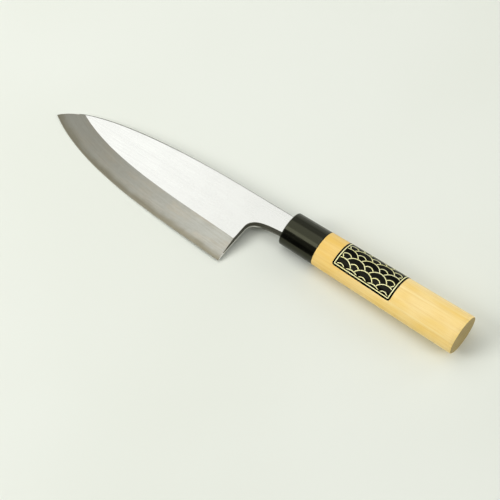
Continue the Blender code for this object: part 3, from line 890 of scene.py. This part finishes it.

# %% [markdown]
# ## The filed back, the edge and the hollow
#
# The narrow faces of the back, the heel and the neck are filed. Their iron is dark, and it is
# painted darker still: a painted shade, for the shadow that these steep faces mirror. Where the
# file cut through both layers, the hard steel shows as a lighter strip under the iron, which ends
# before the neck. The edge itself is freshly honed. The hollow on the far side shows the curved
# marks of the big wheel, which run across the blade, under a film of fine lines. The flat rim
# round it is rubbed bright on the stone each time the edge is made sharp.

# %% Filed faces
filed, shader = new_finish("filed_iron", Metallic=1.0)
place = knife_place(shader)
fine, broad = lines(place, 0.004, 0.0002)
parts = axes(place)
waver = times(noise(place, 140.0, 2.0), 0.0005)
up = plus(parts["Z"], waver)
weld = ease(up, (BACK_FACE + 1.85) * MM, (BACK_FACE + 2.05) * MM)
weld = calc("MAXIMUM", weld, ease(parts["X"], 0.014, 0.019, 0.9, 0.0))
# Painted shade: the iron's colour is darker than its own, for the shadow these steep faces mirror.
iron = blend(ease(broad, 0.3, 0.7), rgb(74, 72, 62), rgb(90, 88, 76))
tone = blend(weld, rgb(240, 239, 230), iron)
tone = tint(tone, fine, 0.35, 0.7, 0.3, rgb(76, 74, 62))
wire(shader, Base_Color=tone, Metallic=ease(weld, 0.0, 1.0, 0.25, 1.0),
     Roughness=ease(fine, 0.3, 0.7, 0.30, 0.44), Normal=relief(fine, 0.15, 0.00002))
print("material:", filed.name)

# %% Honed edge
honed, shader = new_finish("honed_steel", Metallic=1.0)
fine = lines(chart_place(shader), 0.003, 0.0002)[0]
wire(shader, Base_Color=blend(fine, rgb(128, 125, 110), rgb(150, 147, 134)),
     Roughness=ease(fine, 0.3, 0.7, 0.34, 0.44))
print("material:", honed.name)

# %% Hollow back
hollow, shader = new_finish("hollow_back_steel", Metallic=1.0)
place = chart_place(shader)
swap = add(place.id_data, "ShaderNodeMapping", {"Vector": place, "Rotation": (0.0, 0.0, radians(86.0))})
marks_across, wide_marks = lines(swap.outputs[0], 0.05, 0.0005)
fine = lines(place, 0.02, 0.0003)[0]
cloud = noise(place, 45.0, 3.0)
tone = blend(ease(marks_across, 0.3, 0.7), rgb(172, 171, 166), rgb(188, 187, 183))
tone = tint(tone, cloud, 0.35, 0.7, 0.3, rgb(158, 155, 146))
up = axes(knife_place(shader))["Z"]
hollowed = ease(up, (BACK_FACE + 0.005) * MM, (BACK_FACE + 0.03) * MM)
rim_tone = blend(ease(fine, 0.3, 0.7), rgb(212, 211, 207), rgb(198, 197, 192))
rough = plus(ease(marks_across, 0.3, 0.7, 0.24, 0.32), ease(fine, 0.3, 0.7, 0.0, 0.06))
rough = minus(rough, ease(hollowed, 0.0, 1.0, 0.1, 0.0))
height = times(plus(marks_across, times(wide_marks, 1.5)), hollowed)
wire(shader, Base_Color=blend(hollowed, rim_tone, tone), Roughness=rough,
     Normal=relief(height, 0.12, 0.00003))
print("material:", hollow.name)

# %% [markdown]
# ## Rubbed rims
#
# Handling polishes the rims of the ferrule and of the butt first. The meshes carry a value named
# rub that is 1 on those rims. A group breaks it up with noise, so that the wear comes and goes
# along the rim and isn't an even line.

# %% Group for rubbed rims
def rub_group():
    """The mesh's rub value, kept only where uneven noise is high."""
    enter, leave = new_group("rubbed_rim", ("Rub",), ("Worn",))
    patch = noise(enter["Place"], 420.0, 4.0, 0.6)
    wire(leave, Worn=times(enter["Rub"], ease(patch, 0.42, 0.62)))
    return leave.id_data


rubbed_rim = rub_group()


def worn_rim(place):
    """Place the group in a material, fed by the mesh's own rub value."""
    value = add(place.id_data, "ShaderNodeAttribute", attribute_name="rub").outputs["Fac"]
    inputs = {"Place": place, "Rub": value}
    return add(place.id_data, "ShaderNodeGroup", inputs, node_tree=rubbed_rim).outputs["Worn"]


print("group made:", rubbed_rim.name)

# %% [markdown]
# ## Black plastic
#
# The ferrule is glossy black plastic, buffed round its length. Almost nothing comes back from
# under its surface, so its look is all reflection: a broad soft lamp that ends in a clean line,
# and darkness beside it. Fine buffing lines and a few dull smudges keep the gloss from being
# perfect.

# %% Ferrule finish
plastic, shader = new_finish("black_moulding", IOR=1.48, Specular_Tint=(0.98, 1.0, 0.66, 1.0))
place = knife_place(shader)
fine = lines(place, 0.010, 0.00025)[0]
cloud = noise(place, 150.0, 3.0)
worn = worn_rim(place)
tone = blend(ease(cloud, 0.3, 0.7), rgb(5, 5, 4), rgb(8, 8, 6))
tone = blend(times(worn, 0.5), tone, rgb(46, 46, 40))
rough = plus(ease(fine, 0.3, 0.7, 0.09, 0.14), ease(cloud, 0.5, 0.75, 0.0, 0.06))
rough = plus(rough, times(worn, 0.12))
wire(shader, Base_Color=tone, Roughness=rough, Normal=relief(fine, 0.05, 0.00002))
print("material:", plastic.name)

# %% [markdown]
# ## Pale wood
#
# The grip is of a light, even wood like magnolia, with straight grain along the handle. Three
# sizes of pattern make it: slow bands of early and late wood, fibres a fraction of a millimetre
# apart, and short dark pores. All of them are noise stretched along X in the knife's own frame,
# so they run straight from the ferrule to the butt.

# %% Side grain
wood, shader = new_finish("pale_grain")
place = knife_place(shader)
fine, broad = lines(place, 0.012, 0.00022)
ring_place = add(place.id_data, "ShaderNodeMapping", {
    "Vector": place, "Rotation": (radians(24.0), 0.0, radians(0.8)), "Scale": (3.0, 150.0, 420.0)})
growth = noise(ring_place.outputs[0], 1.0, 2.0, 0.55)
cloud = noise(place, 38.0, 2.0)
pores = lines(place, 0.0016, 0.00011)[0]
worn = worn_rim(place)
tone = blend(ease(growth, 0.35, 0.65), rgb(252, 223, 150), rgb(245, 207, 111))
tone = tint(tone, cloud, 0.35, 0.65, 0.5, rgb(254, 231, 170))
# Painted shade: towards the ferrule the wood is painted darker and more golden, where the lamp's sheen
# lights it less.
tone = tint(tone, axes(place)["X"], -0.075, -0.03, 0.45, rgb(234, 185, 66))
tone = tint(tone, broad, 0.5, 0.68, 0.3, rgb(230, 188, 100))
tone = tint(tone, fine, 0.45, 0.75, 0.38, rgb(224, 178, 90))
tone = tint(tone, pores, 0.64, 0.76, 0.5, rgb(190, 143, 74))
tone = blend(times(worn, 0.35), tone, rgb(222, 190, 122))
rough = minus(ease(fine, 0.3, 0.7, 0.36, 0.48), times(worn, 0.1))
height = minus(fine, times(ease(pores, 0.66, 0.78), 1.5))
wire(shader, Base_Color=tone, Roughness=rough, Normal=relief(height, 0.2, 0.00004))
print("material:", wood.name)

# %% [markdown]
# ## End grain
#
# Cut across, the wood drinks in more oil and dust and turns darker, and its colour is painted
# darker still: a painted shade on the butt's end, which faces away from most of the light. The
# growth rings show as gently bowed stripes, and the pores as dots.

# %% Butt finish
end_wood, shader = new_finish("end_grain")
place = knife_place(shader)
parts = axes(place)
from_pith = hypotenuse(minus(parts["Y"], 0.012), minus(parts["Z"], 0.055))
waver = times(noise(place, 120.0, 2.0), 0.0012)
rings = calc("FRACT", times(plus(from_pith, waver), 620.0))
late = ease(rings, 0.35, 0.95)
dots = noise(place, 3600.0, 1.0)
# Partly painted shade: these tones hold the end grain's own darkening and more, for the shade on the
# butt's end.
tone = blend(late, rgb(167, 147, 95), rgb(140, 120, 72))
tone = tint(tone, dots, 0.58, 0.72, 0.5, rgb(118, 97, 55))
tone = tint(tone, noise(place, 90.0, 3.0), 0.4, 0.7, 0.3, rgb(132, 115, 73))
wire(shader, Base_Color=tone, Roughness=ease(dots, 0.3, 0.7, 0.58, 0.72),
     Normal=relief(dots, 0.25, 0.00005))
print("material:", end_wood.name)

# %% [markdown]
# ## The print on the band
#
# The label is glossy black with gold lines. A thin gold frame runs just inside its edge.
# Inside it the old pattern of overlapping waves fills the panel. A wave is a set of circles
# round one centre, and each row hides part of the row behind it, so every spot belongs to the
# lowest circle that covers it.

# %% Distance to the rounded frame
FRAME_INSET = 1.45 * MM
FRAME_LINE = 0.6 * MM


def frame_distance(parts):
    """Distance inside a rounded rectangle: the corner's round less the longer way past it."""
    over_x = minus(calc("ABSOLUTE", parts["X"]), (BAND_LENGTH / 2 - BAND_CORNER) * MM)
    over_y = minus(calc("ABSOLUTE", parts["Y"]), (BAND_WIDTH / 2 - BAND_CORNER) * MM)
    outside = hypotenuse(calc("MAXIMUM", over_x, 0.0), calc("MAXIMUM", over_y, 0.0))
    inside = calc("MINIMUM", calc("MAXIMUM", over_x, over_y), 0.0)
    return minus(BAND_CORNER * MM, plus(outside, inside))


print("gold frame:", FRAME_INSET / MM, "mm inside the band's edge")

# %% Overlapping waves
WAVE = 8.0 * MM
WAVE_RINGS = 2.0


def wave_lines(parts):
    """Gold lines of the waves, from 0 to 1.

    Row j has its centres at half a radius times j, each second row shifted by one radius. For
    the three rows that can cover a spot, the lowest whose circle reaches it gives the distance.
    """
    step_y = WAVE / 2
    height = calc("DIVIDE", parts["Y"], -step_y)
    lowest = calc("CEIL", minus(height, 2.0))
    found = None
    for extra in (2.0, 1.0, 0.0):
        row = plus(lowest, extra)
        shift = times(calc("PINGPONG", row, 1.0), WAVE)
        moved = plus(minus(parts["X"], shift), WAVE)
        across = minus(calc("FLOORED_MODULO", moved, 2 * WAVE), WAVE)
        up = times(minus(height, row), step_y)
        away = hypotenuse(across, up)
        if found is None:
            found = away
        else:
            covers = calc("LESS_THAN", away, WAVE)
            found = plus(times(covers, away), times(minus(1.0, covers), found))
    count = times(calc("DIVIDE", found, WAVE), WAVE_RINGS)
    off_line = calc("ABSOLUTE", minus(calc("FRACT", count), 0.88))
    return ease(off_line, 0.035, 0.095, 1.0, 0.0)


print("waves are", 2 * WAVE / MM, "mm wide")

# %% Band finish
foil, shader = new_finish("printed_foil", IOR=1.5, Specular_IOR_Level=0.1,
                          Specular_Tint=(0.98, 1.0, 0.7, 1.0))
place = chart_place(shader)
parts = axes(place)
inner = frame_distance(parts)
off_frame = calc("ABSOLUTE", minus(inner, FRAME_INSET))
frame_line = ease(off_frame, FRAME_LINE * 0.35, FRAME_LINE * 0.65, 1.0, 0.0)
panel = ease(inner, FRAME_INSET + 0.9 * MM, FRAME_INSET + 1.0 * MM)
wave_mask = times(wave_lines(parts), panel)
press = ease(noise(place, 900.0, 3.0, 0.6), 0.3, 0.5, 0.85, 1.0)
gold = calc("MULTIPLY", calc("MAXIMUM", frame_line, wave_mask), press, clamp=True)
cloud = noise(place, 160.0, 3.0)
broad = lines(place, 0.015, 0.0003)[1]
black = blend(ease(cloud, 0.3, 0.7), rgb(2, 2, 2), rgb(5, 5, 4))
leaf = blend(ease(cloud, 0.3, 0.7), rgb(252, 246, 174), rgb(255, 253, 202))
gold_part = times(gold, 0.25)
wire(shader, Base_Color=blend(gold, black, leaf), Metallic=gold_part,
     Roughness=plus(ease(broad, 0.3, 0.7, 0.12, 0.2), gold_part), Normal=relief(gold, 0.3, 0.00001))
print("material:", foil.name)

# %% [markdown]
# ## Putting the pieces on the frame
#
# Each finished piece gets its materials in the order of its face numbers. Then it rides on the
# knife's one body, and stands for the plain solids that it covers.

# %% Finishes, body and slots
for obj, mats, slot_name, nodes in (
        (blade, (satin, ground, filed, honed, hollow), "soft_iron", ("blade_iron", "blade_steel")),
        (ferrule, (plastic,), "black_plastic", ("ferrule",)),
        (grip, (wood, end_wood), "pale_wood", ("handle",)),
        (band, (foil,), "black_foil", ("band",))):
    for mat in mats:
        obj.data.materials.append(mat)
    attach(obj, "root")
    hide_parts(*nodes)
    print(obj.name, "stands for", ", ".join(nodes))

# %% [markdown]
# ## The table
#
# The knife lies on a smooth pale board. It is wide enough to fill every view from above, and its
# faint clouding keeps it from looking like a flat fill. The colour is written as it shows. The
# lamps light only the middle evenly, so further out the board shows its own colour, for the
# camera and for whatever mirrors it, and near the knife it takes light and shadow as usual.

# %% Floor
BOARD = 12
board_mesh = bpy.data.meshes.new("board")
board_corners = [(-BOARD, -BOARD, 0), (BOARD, -BOARD, 0), (BOARD, BOARD, 0), (-BOARD, BOARD, 0)]
board_mesh.from_pydata(board_corners, [], [(0, 1, 2, 3)])
board = show("board", board_mesh)
paper, shader = new_finish("pale_board", Roughness=0.9)
tree = shader.id_data
place = add(tree, "ShaderNodeTexCoord").outputs["Object"]
cloud = noise(place, 4.0, 2.0)
tone = blend(ease(cloud, 0.35, 0.65), rgb(229, 232, 222), rgb(232, 235, 226))
path = add(tree, "ShaderNodeLightPath").outputs
seen = calc("MAXIMUM", path["Is Glossy Ray"], path["Is Transmission Ray"])
seen = calc("MAXIMUM", seen, path["Is Camera Ray"])
distance = add(tree, "ShaderNodeVectorMath", {0: place}, operation="LENGTH").outputs["Value"]
far = times(seen, ease(distance, 0.45, 1.2))
wire(shader, Base_Color=blend(far, tone, rgb(0, 0, 0)), Emission_Color=tone,
     Emission_Strength=times(far, 1.03))
board_mesh.materials.append(paper)
print("board is", 2 * BOARD, "m wide")

# %% [markdown]
# ## Lamps
#
# A long soft lamp hangs over the knife, in strips of different strength. Its near side ends just
# past the handle, which draws the clean line along the ferrule. A side lamp beyond the tip leaves
# the deepest shadow behind the heel, where the blade shades itself. Three weaker ones behind the
# back and beyond the butt keep the other shadows pale.

# %% Soft lamps and room
LAMP_HEIGHT = 1.25


def area_lamp(name, place, size, watts):
    """A square lamp at a place, facing down and unseen by the camera."""
    light = bpy.data.lights.new(name, "AREA")
    light.size = size
    light.energy = watts
    obj = show(name, light)
    obj.location = place
    obj.visible_camera = False
    return obj


def soft_lamp(name, x_range, y_range, glow):
    """A rectangular lamp facing down, between two places along X and two along Y.

    Its power is pi times its area times its glow, where a glow of 1 shows as white.
    """
    long, wide = x_range[1] - x_range[0], y_range[1] - y_range[0]
    middle = (sum(x_range) / 2, sum(y_range) / 2, LAMP_HEIGHT)
    obj = area_lamp(name, middle, long, np.pi * glow * long * wide)
    obj.data.shape = "RECTANGLE"
    obj.data.size_y = wide


soft_lamp("main_lamp", (-0.15, 1.5), (-0.75, 0.15), 1.2)
soft_lamp("near_lamp", (0.27, 1.5), (0.15, 0.6), 2.3)
soft_lamp("middle_lamp", (-0.15, 0.27), (0.15, 0.6), 1.2)
soft_lamp("far_lamp", (-0.15, 1.5), (-1.8, -0.75), 0.42)


def side_lamp(name, place, size, watts):
    """A square lamp at a place, turned to face the knife, that shiny surfaces don't mirror."""
    obj = area_lamp(name, place, size, watts)
    obj.rotation_euler = Vector(place).to_track_quat("Z", "Y").to_euler()
    obj.visible_glossy = False


side_lamp("tip_side", (0.9, 1.2, 1.0), 0.8, 17.2)
side_lamp("butt_side", (-1.3, -0.1, 1.2), 0.7, 5.6)
side_lamp("back_side", (-0.5, -1.4, 0.7), 0.8, 3.6)
side_lamp("low_side", (-1.5, -0.7, 0.35), 0.7, 7.8)

print("lamps hang at", LAMP_HEIGHT, "m")

# %% [markdown]
# ## The room
#
# The room is pale all round, for the camera and for the steel that mirrors it. Only one dark
# screen stands on the edge's side, a little towards the tip. The ferrule mirrors it as the black
# band that shows how glossy the plastic is. Dull surfaces get only a little light from the room,
# so the lamps alone decide the shadows.

# %% World
world = bpy.data.worlds.new("room")
bpy.context.scene.world = world
world.use_nodes = True
tree = world.node_tree
sky = tree.nodes["Background"]
ray = add(tree, "ShaderNodeTexCoord").outputs["Generated"]
parts = axes(ray)
path = add(tree, "ShaderNodeLightPath").outputs
SCREEN_WAY = (0.34, 0.94)
to_screen = plus(times(parts["X"], SCREEN_WAY[0]), times(parts["Y"], SCREEN_WAY[1]))
level_way = calc("SQRT", minus(1.0001, times(parts["Z"], parts["Z"])))
facing = ease(calc("DIVIDE", to_screen, level_way), 0.925, 0.975)
screen = times(facing, ease(parts["Z"], 0.5, 0.6, 1.0, 0.0))
walls = ease(parts["Z"], 0.35, 0.6, 0.8, 0.17)
walls = calc("MAXIMUM", walls, ease(parts["X"], -0.5, -0.15, 0.7, 0.0))
mirrored = times(walls, minus(1.0, times(screen, 0.96)))
dull = ease(parts["Z"], 0.5, 0.7, 0.1, 0.22)
level = plus(times(path["Is Glossy Ray"], mirrored), times(path["Is Diffuse Ray"], dull))
plain = calc("MAXIMUM", path["Is Camera Ray"], path["Is Transmission Ray"])
level = plus(level, times(plain, 0.84))
wire(sky, Strength=level)
sky.inputs["Color"].default_value = (1.0, 1.02, 0.95, 1.0)
print("the dark screen stands", round(float(np.degrees(np.arctan2(*SCREEN_WAY[::-1])))), "degrees round")

# %% [markdown]
# ## Last settings
#
# The view transform is the plain one, so colours show as they are written.

# %% Finish
bpy.context.scene.view_settings.view_transform = "Standard"
